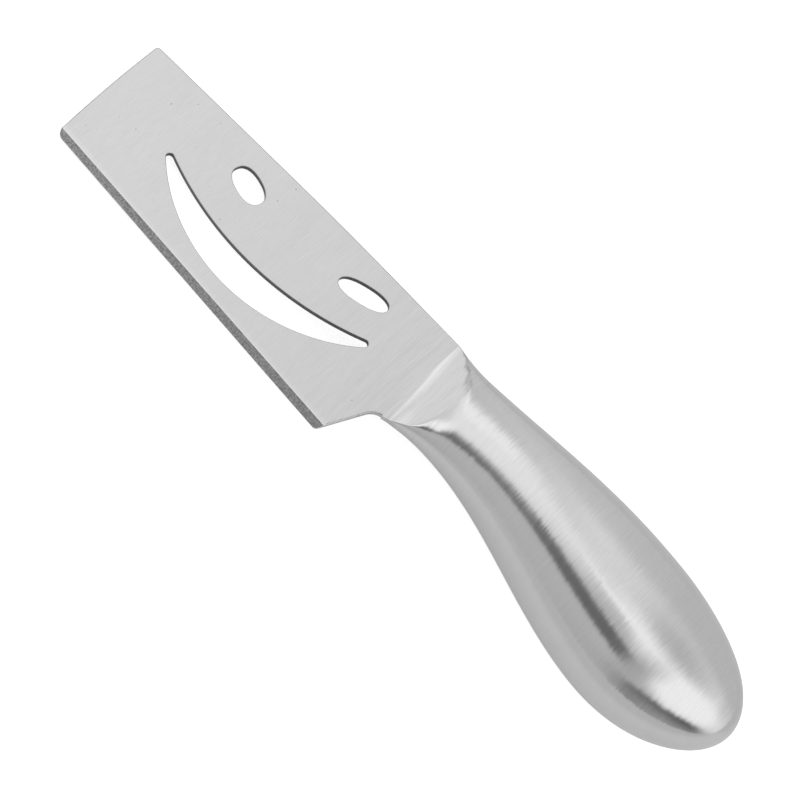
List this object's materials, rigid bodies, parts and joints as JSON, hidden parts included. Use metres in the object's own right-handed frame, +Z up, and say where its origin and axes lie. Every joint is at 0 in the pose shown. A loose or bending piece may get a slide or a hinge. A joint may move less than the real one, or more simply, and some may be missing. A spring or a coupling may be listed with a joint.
{
  "type": "cheese knife",
  "caption": "Small all-steel cheese knife: a square-tipped ground blade with a smiling face cut through it, on a plump hollow handle.",
  "frame": {"origin": "on the table under the middle of the lying knife's box: the knife rests on its tip and on the belly of its handle", "axes": "+X from the handle's end to the blade's tip, +Y to the cutting edge, +Z up"},
  "size_m": [0.1492, 0.0297, 0.0227],
  "materials": {
    "blade_steel": "satin, with fine brush lines straight across the blade",
    "neck_steel": "satin, belt ground across the flats",
    "handle_steel": "satin, with fine brush lines around the handle",
    "weld_steel": "satin, ground flush with the handle"
  },
  "bodies": {
    "root": {"blade": "blade_steel", "neck_bolster": "neck_steel", "neck_weld": "weld_steel", "handle_top_shell": "handle_steel", "handle_bottom_shell": "handle_steel", "seam_weld": "weld_steel"}
  },
  "joints": []
}
